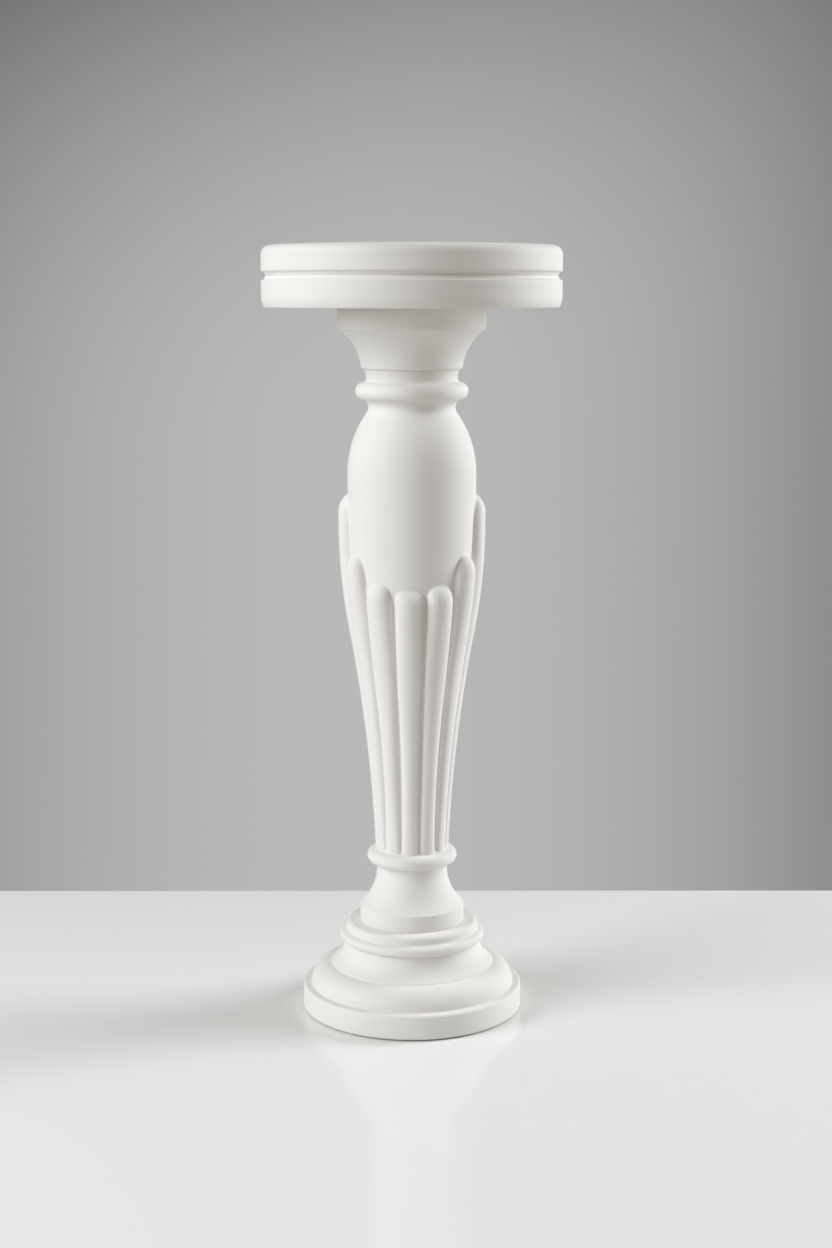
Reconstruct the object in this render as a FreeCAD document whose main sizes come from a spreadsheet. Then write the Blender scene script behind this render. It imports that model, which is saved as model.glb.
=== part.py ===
import FreeCAD, Part
import math
import os
import re
import Sketcher

# A pedestal column stand: a round two-board top on a turned and carved column.
# The column is turned in sections that plug into each other, and one steel rod
# through the middle clamps all of them between the lower board and a ballast disc.
# Millimetres, +Z up, origin on the floor in the middle of the base.

os.makedirs("parts", exist_ok=True)
doc = FreeCAD.newDocument("column_stand")
sheet = doc.addObject("Spreadsheet::Sheet", "dims")

DIMENSIONS = {
    # Heights of the pieces, floor to top
    "felt_thickness": 1.5,          # felt under the base
    "plinth_height": 72.5,          # round base, bottom edge to ring seat
    "ring_height": 21,              # loose moulding ring on the plinth
    "foot_height": 60,              # bell-shaped foot, without its tenons
    "shaft_height": 520.5,          # carved shaft, without its tenon
    "capital_height": 62.5,         # flared head of the column
    "lower_board_thickness": 31.5,  # lower board of the top
    "upper_board_thickness": 30.5,  # upper board of the top
    # The two boards
    "board_radius": 152.5,          # both boards
    "top_round_width": 9.5,         # rounded rim, inward
    "top_round_drop": 10.5,         # rounded rim, downward
    "groove_radius": 4.2,           # cove between the boards, half in each
    "edge_ease": 1.0,               # softened arris of a turned edge
    "under_edge_width": 3.4,        # drawn-in lower edge, inward
    "under_edge_height": 10,        # drawn-in lower edge, upward
    # Capital
    "capital_radius": 75.8,         # upright band at the top
    "capital_band": 20,             # height of that band
    "shoulder_width": 2.5,          # rounding below the band, inward
    "shoulder_drop": 3.2,           # rounding below the band, downward
    "capital_sweep": 50.8,          # radius of the hollow curve
    "lip_radius": 52.2,             # rim at the capital's foot
    "lip_round": 3,                 # rounding of that rim
    # Neck of the shaft
    "neck_radius": 46.9,            # plain neck above the bead
    "neck_flare_width": 1.0,        # flare of the neck to its top
    "neck_flare_height": 8.5,       # height of that flare
    "neck_bead_drop": 21.6,         # shaft top to the middle of the bead
    "neck_bead_tube": 8.9,          # half-round bead
    "neck_bead_seat": 48.9,         # radius that the bead springs from
    "neck_cove": 2.1,               # hollow above the bead
    "waist_sweep": 9.5,             # radius of the hollow under the bead
    "waist_height": 12.8,           # height of that hollow
    "dome_start_radius": 45.9,      # where the smooth body starts
    # Smooth body, which goes on as the core under the ribs
    "belly_radius": 66.3,           # widest smooth part
    "dome_height": 62.3,            # widest part up to the waist
    "core_foot_radius": 35.4,       # core at the foot
    "core_foot_height": 23,         # where the core stands upright
    "core_turn": 0.41,              # share of the way up where hollow turns to round
    # Carved ribs
    "rib_count": 12,                # an even number
    "rib_belly_radius": 75.9,       # widest over the ribs
    "rib_belly_height": 364.2,      # height of the widest part
    "rib_spring_radius": 37,        # outer curve where it would stand upright
    "rib_spring_drop": 50,          # that place, below the shaft's foot
    "rib_turn": 0.727,              # share of the way up where hollow turns to round
    "rib_gap": 1.2,                 # valley between two ribs, at the core
    "rib_bury": 0.8,                # middle of a rib's section, below the core surface
    "rib_dome": 18,                 # height of a rib's rounded end
    "rib_squareness": 0.85,         # 1 is an ellipse, less is fuller
    "low_tip_height": 301,          # rib ends at the front and back
    "high_tip_height": 393.5,       # rib ends at the sides
    "swag_power": 1.47,             # how late the line of rib ends climbs
    # Bead at the shaft's foot
    "foot_bead_seat": 39.8,         # radius that the bead springs from
    "foot_bead_tube": 7.5,          # half-round bead
    "foot_bead_rise": 2.8,          # lower end of the bead
    "small_ring_radius": 38.6,      # thin ring under the bead
    "small_ring_height": 2.4,       # height of that ring
    "small_ring_sweep": 1.5,        # radius of its rounding
    # Foot
    "foot_neck_radius": 36.8,       # top of the foot
    "foot_neck_height": 2,          # upright part at the top
    "foot_band_radius": 55,         # upright band at the bottom
    "foot_band_height": 17.6,       # height of that band
    # Moulding ring
    "ring_flat_radius": 64.5,       # flat top of the ring
    "upper_bead_radius": 4.8,       # rounding of the upper bead
    "upper_bead_height": 2.6,       # upright part under that rounding
    "lower_bead_seat": 70.8,        # radius that the lower bead springs from
    "lower_bead_tube": 5.6,         # half-round lower bead
    # Plinth
    "plinth_top_radius": 71.5,      # under the ring
    "plinth_hollow_radius": 84.9,   # outer edge of the hollow
    "plinth_hollow_drop": 23.7,     # height of the hollow
    "fine_step": 0.8,               # thin fillet between hollow and round
    "torus_radius": 107,            # outside of the big round
    "band_radius": 116,             # bottom band
    "band_height": 25.5,            # height of the bottom band
    "band_round": 3,                # rounded upper edge of the band
    # Joints between the turned pieces
    "fit": 0.15,                    # clearance round a tenon
    "end_gap": 1,                   # free depth at the end of a tenon or dowel
    "head_tenon_radius": 25,        # socket for the shaft's upper tenon
    "head_tenon_length": 15,        # length of that tenon
    "foot_tenon_radius": 22,        # socket for the foot's upper tenon
    "foot_tenon_length": 15,        # length of that tenon
    "spigot_radius": 46,            # bore of the ring, on the foot's spigot
    "spigot_depth": 12,             # how far the spigot goes into the plinth
    "dowel_radius": 4,              # three dowels, capital to lower board
    "dowel_length": 30,             # half in each piece
    "dowel_circle": 46,             # radius that the dowels stand on
    "dowel_count": 3,               # dowels
    # Tie rod and what it clamps
    "rod_radius": 6,                # threaded rod
    "rod_bore": 7,                  # hole for the rod in wood
    "thread_gap": 0.1,              # clearance in a nut or a screw hole
    "rod_proud": 1.6,               # rod beyond its nut
    "rod_bevel": 1,                 # bevel on the rod's ends
    "washer_radius": 15,            # both washers
    "washer_thickness": 2.5,        # both washers
    "nut_flats": 19,                # across the flats
    "nut_height": 10.8,             # both nuts
    "nut_well_radius": 17,          # counterbore in the lower board
    "nut_well_depth": 17,           # depth of that counterbore
    "recess_radius": 75,            # hollow inside the plinth
    "recess_height": 38.5,          # top of that hollow
    "ballast_thickness": 12,        # iron disc in the hollow
    "ballast_clearance": 1,         # round the iron disc
    # Base cover and felt
    "cover_radius": 92,             # rebate for the cover
    "cover_thickness": 5,           # cover
    "felt_radius": 108,             # felt disc
    # Wood screws
    "board_screw_count": 6,         # up through the lower board
    "board_screw_circle": 112,      # radius that they stand on
    "board_screw_well": 12,         # counterbore for the head
    "board_screw_length": 42,       # under the head
    "board_screw_radius": 2.1,      # shank
    "board_head_radius": 4,         # head
    "board_head_height": 2.8,       # head
    "cover_screw_count": 6,         # up through the base cover
    "cover_screw_circle": 83.5,     # radius that they stand on
    "cover_screw_well": 2.4,        # counterbore for the head
    "cover_screw_length": 16,       # under the head
    "cover_screw_radius": 1.6,      # shank
    "cover_head_radius": 3.2,       # head
    "cover_head_height": 2.2,       # head
    "head_clearance": 0.6,          # round a screw's head
    "shank_clearance": 0.3,         # round a shank in the piece it holds down
}

for row, (alias, value) in enumerate(DIMENSIONS.items(), 1):
    sheet.set(f"A{row}", alias)
    sheet.set(f"B{row}", str(value))
    sheet.setAlias(f"B{row}", alias)
doc.recompute()


def bound(text):
    """The expression as the document needs it, with each size read from the sheet."""
    return re.sub(r"[a-z_]+", lambda m: "dims." + m[0] if m[0] in DIMENSIONS else m[0], text)


def number(text):
    """The value of an expression today."""
    return float(sheet.evalExpression(text))


# Height of each piece's own zero above the floor, as expressions.
plinth_seat = "felt_thickness"
ring_seat = f"({plinth_seat} + plinth_height)"
foot_seat = f"({ring_seat} + ring_height)"
shaft_seat = f"({foot_seat} + foot_height)"
capital_seat = f"({shaft_seat} + shaft_height)"
lower_board_seat = f"({capital_seat} + capital_height)"
upper_board_seat = f"({lower_board_seat} + lower_board_thickness)"


def arc_centre(start, end, kind, radius):
    """Centre of an arc between two outline points.

    upright_start and upright_end: the arc stands upright at that end.
    level_start and level_end: it is level at that end. half: a half round.
    bulge and hollow: an arc of the given radius, away from or towards the axis.
    """
    across = end[0] - start[0]
    up = end[1] - start[1]
    square = across * across + up * up
    if kind == "upright_start":
        return start[0] + square / (2 * across), start[1]
    if kind == "upright_end":
        return end[0] - square / (2 * across), end[1]
    if kind == "level_start":
        return start[0], start[1] + square / (2 * up)
    if kind == "level_end":
        return end[0], end[1] - square / (2 * up)
    middle = (start[0] + end[0]) / 2, (start[1] + end[1]) / 2
    if kind == "half":
        return middle
    chord = math.sqrt(square)
    reach = math.sqrt(radius * radius - square / 4)
    side = 1 if kind == "bulge" else -1
    side = side if up < 0 else -side
    return middle[0] + side * up / chord * reach, middle[1] - side * across / chord * reach


def draw_outline(sketch, outline):
    """Draws a closed half outline of radius and height expressions.

    An item of three is a point and the arc that leads from it to the next point.
    Every point is held by its two sizes, and every arc by its radius or centre.
    """
    points = [(number(item[0]), number(item[1])) for item in outline]
    joints = []
    for index, item in enumerate(outline):
        start = FreeCAD.Vector(*points[index], 0)
        end = FreeCAD.Vector(*points[(index + 1) % len(points)], 0)
        if len(item) == 2:
            edge = sketch.addGeometry(Part.LineSegment(start, end), False)
            joints.append((edge, 1, 2))
            continue
        kind, _, radius_text = item[2].partition(" ")
        radius = number(radius_text) if radius_text else 0
        centre = FreeCAD.Vector(*arc_centre(start, end, kind, radius), 0)
        first = math.atan2(start.y - centre.y, start.x - centre.x)
        last = math.atan2(end.y - centre.y, end.x - centre.x)
        forward = (last - first) % (2 * math.pi) < math.pi - 1e-9
        circle = Part.Circle(centre, FreeCAD.Vector(0, 0, 1), start.distanceToPoint(centre))
        if forward:
            edge = sketch.addGeometry(Part.ArcOfCircle(circle, first, last), False)
            joints.append((edge, 1, 2))
        else:
            edge = sketch.addGeometry(Part.ArcOfCircle(circle, last, first), False)
            joints.append((edge, 2, 1))

    def hold(kind, edge, spot, text):
        axis = -2 if kind == "DistanceX" else -1
        if text == "0":
            sketch.addConstraint(Sketcher.Constraint("PointOnObject", edge, spot, axis))
            return
        sized = Sketcher.Constraint(kind, -1, 1, edge, spot, number(text))
        sketch.setExpression(f"Constraints[{sketch.addConstraint(sized)}]", bound(text))

    for index, item in enumerate(outline):
        edge, start_spot, end_spot = joints[index]
        after = (index + 1) % len(outline)
        next_edge, next_spot, _ = joints[after]
        sketch.addConstraint(Sketcher.Constraint("Coincident", edge, end_spot, next_edge, next_spot))
        hold("DistanceX", edge, start_spot, item[0])
        hold("DistanceY", edge, start_spot, item[1])
        if len(item) == 2:
            continue
        kind, _, radius_text = item[2].partition(" ")
        owner = outline[after] if kind.endswith("_end") else item
        if radius_text:
            sized = Sketcher.Constraint("Radius", edge, number(radius_text))
            sketch.setExpression(f"Constraints[{sketch.addConstraint(sized)}]", bound(radius_text))
        elif kind.startswith("upright"):
            hold("DistanceY", edge, 3, owner[1])
        else:
            hold("DistanceX", edge, 3, owner[0])


def origin_plane(body, role):
    return next(item for item in body.Origin.OriginFeatures if item.Role == role)


def new_body(label, seat):
    """An empty body whose own zero stands at the given height above the floor."""
    body = doc.addObject("PartDesign::Body", label)
    body.Label = label
    body.setExpression("Placement.Base.z", bound(seat))
    return body


AXIS_MARK = 10   # length of the line drawn for an axis beside the body's own


def turn(body, outline, axis_at=None):
    """Turns an outline about the body's axis, or about an upright line beside it."""
    sketch = body.newObject("Sketcher::SketchObject", body.Name + "_outline")
    sketch.AttachmentSupport = [(origin_plane(body, "XZ_Plane"), "")]
    sketch.MapMode = "FlatFace"
    draw_outline(sketch, outline)
    turned = body.newObject("PartDesign::Revolution", body.Name + "_turned")
    turned.Profile = sketch
    turned.ReferenceAxis = (sketch, ["V_Axis"])
    if axis_at:
        low_end = FreeCAD.Vector(number(axis_at), 0, 0)
        high_end = FreeCAD.Vector(number(axis_at), AXIS_MARK, 0)
        line = sketch.addGeometry(Part.LineSegment(low_end, high_end), True)
        sketch.addConstraint(Sketcher.Constraint("Vertical", line))
        sketch.addConstraint(Sketcher.Constraint("PointOnObject", line, 1, -1))
        at = sketch.addConstraint(Sketcher.Constraint("DistanceX", -1, 1, line, 1, low_end.x))
        sketch.setExpression(f"Constraints[{at}]", bound(axis_at))
        sketch.addConstraint(Sketcher.Constraint("DistanceY", line, 1, line, 2, AXIS_MARK))
        turned.ReferenceAxis = (sketch, ["Axis0"])
    turned.Angle = 360
    sketch.Visibility = False
    doc.recompute()
    return turned


def ring_of(body, feature, count):
    """Repeats a feature evenly round the body's axis."""
    pattern = body.newObject("PartDesign::PolarPattern", feature.Name + "_ring")
    pattern.Originals = [feature]
    pattern.Axis = (origin_plane(body, "Z_Axis"), [""])
    pattern.Angle = 360
    pattern.setExpression("Occurrences", bound(count))
    body.Tip = pattern
    doc.recompute()
    return pattern


def drill(body, name, circle, radius, start, depth, upward, count):
    """Drills a ring of blind or through holes from a level, and checks that they cut."""
    before = body.Shape.Volume
    sketch = body.newObject("Sketcher::SketchObject", f"{body.Name}_{name}_circle")
    sketch.AttachmentSupport = [(origin_plane(body, "XY_Plane"), "")]
    sketch.MapMode = "FlatFace"
    sketch.setExpression("AttachmentOffset.Base.z", bound(start))
    middle = FreeCAD.Vector(number(circle), 0, 0)
    round_hole = Part.Circle(middle, FreeCAD.Vector(0, 0, 1), number(radius))
    hole = sketch.addGeometry(round_hole, False)
    sketch.addConstraint(Sketcher.Constraint("PointOnObject", hole, 3, -1))
    at = sketch.addConstraint(Sketcher.Constraint("DistanceX", -1, 1, hole, 3, middle.x))
    sketch.setExpression(f"Constraints[{at}]", bound(circle))
    size = sketch.addConstraint(Sketcher.Constraint("Radius", hole, number(radius)))
    sketch.setExpression(f"Constraints[{size}]", bound(radius))
    sketch.Visibility = False
    pocket = body.newObject("PartDesign::Pocket", f"{body.Name}_{name}")
    pocket.Profile = sketch
    pocket.setExpression("Length", bound(depth))
    pocket.Reversed = upward
    doc.recompute()
    ring_of(body, pocket, count)
    assert body.Shape.Volume < before - 1, f"{pocket.Name} cuts nothing"


# Upper board: a solid disc with a rounded rim. The groove's upper half runs round
# its lower edge, and its flat underside closes the well of the rod's nut.
screw_rise = "board_screw_length - (lower_board_thickness - board_screw_well)"
cove_arris = "sqrt(groove_radius^2 - edge_ease^2)"
upper_board = new_body("upper_board", upper_board_seat)
turn(upper_board, [
    ("0", "upper_board_thickness"),
    ("board_radius - top_round_width", "upper_board_thickness", "level_start"),
    ("board_radius", "upper_board_thickness - top_round_drop"),
    ("board_radius", "groove_radius + edge_ease", "upright_start"),
    ("board_radius - edge_ease", cove_arris, "hollow groove_radius"),
    ("board_radius - groove_radius", "0"),
    ("0", "0"),
])
drill(upper_board, "pilot", "board_screw_circle", "board_screw_radius + thread_gap", "0",
      f"{screw_rise} + end_gap", True, "board_screw_count")

# Lower board: a disc with the groove's lower half at its top, a drawn-in lower edge,
# a hole for the rod with a well for its nut, screw holes and three dowel holes.
lower_board = new_body("lower_board", lower_board_seat)
turn(lower_board, [
    ("nut_well_radius", "lower_board_thickness"),
    ("board_radius - groove_radius", "lower_board_thickness", "hollow groove_radius"),
    ("board_radius - edge_ease", f"lower_board_thickness - {cove_arris}", "upright_end"),
    ("board_radius", "lower_board_thickness - groove_radius - edge_ease"),
    ("board_radius", "under_edge_height + edge_ease", "upright_start"),
    ("board_radius - under_edge_width + edge_ease", "edge_ease", "level_end"),
    ("board_radius - under_edge_width", "0"),
    ("rod_bore", "0"),
    ("rod_bore", "lower_board_thickness - nut_well_depth"),
    ("nut_well_radius", "lower_board_thickness - nut_well_depth"),
])
drill(lower_board, "screw_well", "board_screw_circle", "board_head_radius + head_clearance",
      "0", "board_screw_well", True, "board_screw_count")
drill(lower_board, "screw_hole", "board_screw_circle", "board_screw_radius + shank_clearance",
      "0", "lower_board_thickness", True, "board_screw_count")
drill(lower_board, "dowel_hole", "dowel_circle", "dowel_radius + fit",
      "0", "dowel_length / 2 + end_gap", True, "dowel_count")

# Capital: an upright band over a hollow flare, with a rim at its foot. It is bored for
# the rod, with dowel holes in its top and a socket for the shaft's tenon below.
capital = new_body("capital", capital_seat)
turn(capital, [
    ("rod_bore", "capital_height"),
    ("capital_radius", "capital_height"),
    ("capital_radius", "capital_height - capital_band", "upright_start"),
    ("capital_radius - shoulder_width", "capital_height - capital_band - shoulder_drop",
     "hollow capital_sweep"),
    ("lip_radius", "lip_round + edge_ease / 2", "upright_start"),
    ("lip_radius - lip_round", "edge_ease / 2"),
    ("lip_radius - lip_round", "0"),
    ("head_tenon_radius", "0"),
    ("head_tenon_radius", "head_tenon_length + end_gap"),
    ("rod_bore", "head_tenon_length + end_gap"),
])
drill(capital, "dowel_hole", "dowel_circle", "dowel_radius + fit",
      "capital_height", "dowel_length / 2 + end_gap", False, "dowel_count")

# Shaft, first its turned core: tenon, neck, bead, smooth body, the hollow core that
# the ribs are left standing on, and the bead and thin ring at the foot.
core = new_body("shaft_core", "0")
bead_middle = "shaft_height - neck_bead_drop"
waist_end = f"{bead_middle} - neck_bead_tube - waist_height"
belly_level = f"{waist_end} - dome_height"
core_middle_radius = "core_foot_radius + core_turn * (belly_radius - core_foot_radius)"
core_middle_height = f"core_foot_height + core_turn * ({belly_level} - core_foot_height)"
foot_bead_middle = "foot_bead_rise + foot_bead_tube"
foot_bead_top = "foot_bead_rise + 2 * foot_bead_tube"
turn(core, [
    ("rod_bore", "shaft_height + head_tenon_length"),
    ("head_tenon_radius - fit", "shaft_height + head_tenon_length"),
    ("head_tenon_radius - fit", "shaft_height"),
    ("neck_radius + neck_flare_width", "shaft_height", "upright_end"),
    ("neck_radius", "shaft_height - neck_flare_height"),
    ("neck_radius", f"{bead_middle} + neck_bead_tube + neck_cove", "upright_start"),
    ("neck_bead_seat", f"{bead_middle} + neck_bead_tube", "half"),
    ("neck_bead_seat", f"{bead_middle} - neck_bead_tube", "hollow waist_sweep"),
    ("dome_start_radius", waist_end, "upright_end"),
    ("belly_radius", belly_level, "upright_start"),
    (core_middle_radius, core_middle_height, "upright_end"),
    ("core_foot_radius", "core_foot_height", "upright_start"),
    ("foot_bead_seat", foot_bead_top, "half"),
    ("foot_bead_seat", "foot_bead_rise"),
    ("small_ring_radius", "small_ring_height", "bulge small_ring_sweep"),
    ("small_ring_radius", "0"),
    ("foot_tenon_radius", "0"),
    ("foot_tenon_radius", "foot_tenon_length + end_gap"),
    ("rod_bore", "foot_tenon_length + end_gap"),
])


def ogee(low_radius, low_height, high_radius, high_height, turn_at):
    """Reach of a curve of two arcs, upright at both ends, at any height."""
    across = high_radius - low_radius
    up = high_height - low_height
    turn_height = low_height + turn_at * up
    square = (across * across + up * up) / (2 * across)

    def reach(height):
        if height < turn_height:
            sweep = square * turn_at
            rise = max(height - low_height, 0)
            return low_radius + sweep - math.sqrt(sweep * sweep - rise * rise)
        sweep = square * (1 - turn_at)
        drop = height - high_height
        return high_radius - sweep + math.sqrt(sweep * sweep - drop * drop)

    return reach


core_reach = ogee(number("core_foot_radius"), number("core_foot_height"),
                  number("belly_radius"), number(belly_level), number("core_turn"))
rib_reach = ogee(number("rib_spring_radius"), -number("rib_spring_drop"),
                 number("rib_belly_radius"), number("rib_belly_height"), number("rib_turn"))

RIB_LEVELS = (0, 0.12, 0.25, 0.4, 0.55, 0.7, 0.85)   # shares of a rib's plain length
DOME_ANGLES = (0, 28, 48, 64, 77)                    # degrees round its end
SECTION_POINTS = 16


def rib_section(height, width_share, depth_share):
    """One level section of a rib: a full oval with its middle just under the core."""
    middle = core_reach(height) - number("rib_bury")
    spread = core_reach(height) * math.sin(math.pi / number("rib_count"))
    half_width = (spread - number("rib_gap") / 2) * width_share
    depth = (rib_reach(height) - middle) * depth_share
    power = number("rib_squareness")
    points = []
    for index in range(SECTION_POINTS):
        angle = 2 * math.pi * index / SECTION_POINTS
        side = math.copysign(abs(math.cos(angle)) ** power, math.cos(angle))
        out = math.copysign(abs(math.sin(angle)) ** power, math.sin(angle))
        points.append(FreeCAD.Vector(half_width * side, -middle - depth * out, height))
    oval = Part.BSplineCurve()
    oval.interpolate(points, PeriodicFlag=True)
    return Part.Wire([oval.toShape()])


def rib_blank(tip_height):
    """A rib that follows the body from inside the foot bead up to a rounded end."""
    foot_height = number(foot_bead_middle)
    shoulder = tip_height - number("rib_dome")
    sections = []
    for share in RIB_LEVELS:
        sections.append(rib_section(foot_height + share * (shoulder - foot_height), 1, 1))
    for degrees in DOME_ANGLES:
        climb = math.sin(math.radians(degrees))
        fall = 1 - climb * climb
        height = shoulder + number("rib_dome") * climb
        sections.append(rib_section(height, fall ** 0.5, fall ** 0.75))
    tip_reach = core_reach(tip_height) - number("rib_bury")
    sections.append(Part.Vertex(0, -tip_reach, tip_height))
    return Part.makeLoft(sections, True, False)


# The ribs stand all round the core. Their ends lie on a line that hangs low at the
# front and back and climbs to the sides.
shaft_parts = [core]
for index in range(round(number("rib_count"))):
    angle = 360 * index / number("rib_count")
    from_front = abs(math.cos(math.radians(angle)))
    climb = (1 - from_front) ** number("swag_power")
    low_tip = number("low_tip_height")
    tip_height = low_tip + (number("high_tip_height") - low_tip) * climb
    rib = doc.addObject("Part::Feature", f"rib_{index + 1}")
    rib.Shape = rib_blank(tip_height)
    rib.Placement.Rotation = FreeCAD.Rotation(FreeCAD.Vector(0, 0, 1), angle)
    shaft_parts.append(rib)
shaft = doc.addObject("Part::MultiFuse", "shaft")
shaft.Shapes = shaft_parts
shaft.Refine = False
shaft.setExpression("Placement.Base.z", bound(shaft_seat))

# Foot: a bell that flares to an upright band, with a tenon up into the shaft and a
# wide spigot down through the ring into the plinth.
foot = new_body("foot", foot_seat)
turn(foot, [
    ("rod_bore", "foot_height + foot_tenon_length"),
    ("foot_tenon_radius - fit", "foot_height + foot_tenon_length"),
    ("foot_tenon_radius - fit", "foot_height"),
    ("foot_neck_radius", "foot_height"),
    ("foot_neck_radius", "foot_height - foot_neck_height", "upright_start"),
    ("foot_band_radius - edge_ease", "foot_band_height + edge_ease / 2", "level_start"),
    ("foot_band_radius", "foot_band_height - edge_ease"),
    ("foot_band_radius", "0"),
    ("spigot_radius - fit", "0"),
    ("spigot_radius - fit", "-(ring_height + spigot_depth)"),
    ("rod_bore", "-(ring_height + spigot_depth)"),
])

# Moulding ring: a loose ring with a flat top and two beads, slipped over the spigot.
ring = new_body("moulding_ring", ring_seat)
ring_bead_top = "2 * lower_bead_tube"
turn(ring, [
    ("spigot_radius", "ring_height"),
    ("ring_flat_radius", "ring_height", "level_start"),
    ("ring_flat_radius + upper_bead_radius", "ring_height - upper_bead_radius"),
    ("ring_flat_radius + upper_bead_radius", "ring_height - upper_bead_radius - upper_bead_height",
     "upright_start"),
    ("lower_bead_seat", ring_bead_top, "half"),
    ("lower_bead_seat", "0"),
    ("spigot_radius", "0"),
])

# Plinth: hollow, thin fillet, big round and bottom band, turned from a glued-up block.
# Below it is hollowed for the ballast, with a rebate for the cover.
plinth = new_body("plinth", plinth_seat)
hollow_foot = "plinth_height - plinth_hollow_drop"
round_top = f"({hollow_foot} - 2 * fine_step)"
turn(plinth, [
    ("spigot_radius", "plinth_height"),
    ("plinth_top_radius", "plinth_height", "upright_start"),
    ("plinth_hollow_radius", hollow_foot),
    ("plinth_hollow_radius + fine_step", f"{hollow_foot} - fine_step"),
    ("plinth_hollow_radius + fine_step", round_top, "level_start"),
    ("torus_radius", "band_height + edge_ease"),
    ("torus_radius", "band_height"),
    ("band_radius - band_round", "band_height", "level_start"),
    ("band_radius", "band_height - band_round"),
    ("band_radius", "edge_ease"),
    ("band_radius - edge_ease", "0"),
    ("cover_radius", "0"),
    ("cover_radius", "cover_thickness"),
    ("recess_radius", "cover_thickness"),
    ("recess_radius", "recess_height"),
    ("rod_bore", "recess_height"),
    ("rod_bore", "plinth_height - spigot_depth - end_gap"),
    ("spigot_radius", "plinth_height - spigot_depth - end_gap"),
])
drill(plinth, "pilot", "cover_screw_circle", "cover_screw_radius + thread_gap",
      "cover_thickness", "cover_screw_length - (cover_thickness - cover_screw_well) + end_gap",
      True, "cover_screw_count")

# Three dowels keep the capital and the lower board from turning on each other.
dowels = new_body("capital_dowels", capital_seat)
dowel_low = "(capital_height - dowel_length / 2)"
dowel_high = "(capital_height + dowel_length / 2)"
ring_of(dowels, turn(dowels, [
    ("dowel_circle", dowel_high),
    ("dowel_circle + dowel_radius - edge_ease", dowel_high),
    ("dowel_circle + dowel_radius", f"{dowel_high} - edge_ease"),
    ("dowel_circle + dowel_radius", f"{dowel_low} + edge_ease"),
    ("dowel_circle + dowel_radius - edge_ease", dowel_low),
    ("dowel_circle", dowel_low),
], "dowel_circle"), "dowel_count")

# Ballast: an iron disc under the plinth's web, which also spreads the rod's pull.
ballast_seat = f"({plinth_seat} + recess_height - ballast_thickness)"
ballast = new_body("ballast_disc", ballast_seat)
turn(ballast, [
    ("rod_bore", "ballast_thickness"),
    ("recess_radius - ballast_clearance", "ballast_thickness"),
    ("recess_radius - ballast_clearance", "edge_ease"),
    ("recess_radius - ballast_clearance - edge_ease", "0"),
    ("rod_bore", "0"),
])


def washer(label, seat):
    turn(new_body(label, seat), [
        ("rod_bore", "washer_thickness"),
        ("washer_radius", "washer_thickness"),
        ("washer_radius", "0"),
        ("rod_bore", "0"),
    ])


def nut(label, seat):
    """A hexagon nut whose six upper and lower corners are turned off."""
    hexagon = doc.addObject("Part::Prism", label + "_hexagon")
    hexagon.Polygon = 6
    hexagon.setExpression("Circumradius", bound("nut_flats / sqrt(3)"))
    hexagon.setExpression("Height", bound("nut_height"))
    ball = doc.addObject("Part::Sphere", label + "_corner_turning")
    ball.setExpression("Radius", bound("sqrt((nut_flats / 2)^2 + (nut_height / 2)^2) + edge_ease / 4"))
    ball.setExpression("Placement.Base.z", bound("nut_height / 2"))
    turned = doc.addObject("Part::Common", label + "_turned")
    turned.Base = hexagon
    turned.Tool = ball
    bore = doc.addObject("Part::Cylinder", label + "_bore")
    bore.setExpression("Radius", bound("rod_radius + thread_gap"))
    bore.setExpression("Height", bound("nut_height"))
    bored = doc.addObject("Part::Cut", label)
    bored.Base = turned
    bored.Tool = bore
    bored.setExpression("Placement.Base.z", bound(seat))


# Upper end of the rod: washer on the floor of the well, then the nut.
upper_washer_seat = f"({lower_board_seat} + lower_board_thickness - nut_well_depth)"
upper_nut_seat = f"({upper_washer_seat} + washer_thickness)"
washer("upper_washer", upper_washer_seat)
nut("upper_nut", upper_nut_seat)

# Lower end: washer and nut hang under the ballast disc.
lower_washer_seat = f"({ballast_seat} - washer_thickness)"
lower_nut_seat = f"({lower_washer_seat} - nut_height)"
washer("lower_washer", lower_washer_seat)
nut("lower_nut", lower_nut_seat)

# Tie rod: one length of threaded rod from nut to nut, with bevelled ends.
rod_seat = f"({lower_nut_seat} - rod_proud)"
rod_length = f"({upper_nut_seat} + nut_height + rod_proud - {rod_seat})"
turn(new_body("tie_rod", rod_seat), [
    ("0", rod_length),
    ("rod_radius - rod_bevel", rod_length),
    ("rod_radius", f"{rod_length} - rod_bevel"),
    ("rod_radius", "rod_bevel"),
    ("rod_radius - rod_bevel", "0"),
    ("0", "0"),
])

# Cover: a thin disc in the plinth's rebate, with wells for its screw heads.
cover = new_body("base_cover", plinth_seat)
turn(cover, [
    ("0", "cover_thickness"),
    ("cover_radius - fit", "cover_thickness"),
    ("cover_radius - fit", "0"),
    ("0", "0"),
])
drill(cover, "screw_well", "cover_screw_circle", "cover_head_radius + head_clearance",
      "0", "cover_screw_well", True, "cover_screw_count")
drill(cover, "screw_hole", "cover_screw_circle", "cover_screw_radius + shank_clearance",
      "0", "cover_thickness", True, "cover_screw_count")

# Felt: one disc under the cover and the plinth, set in from the band's edge.
turn(new_body("felt_disc", "0"), [
    ("0", "felt_thickness"),
    ("felt_radius", "felt_thickness"),
    ("felt_radius", "0"),
    ("0", "0"),
])


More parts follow.
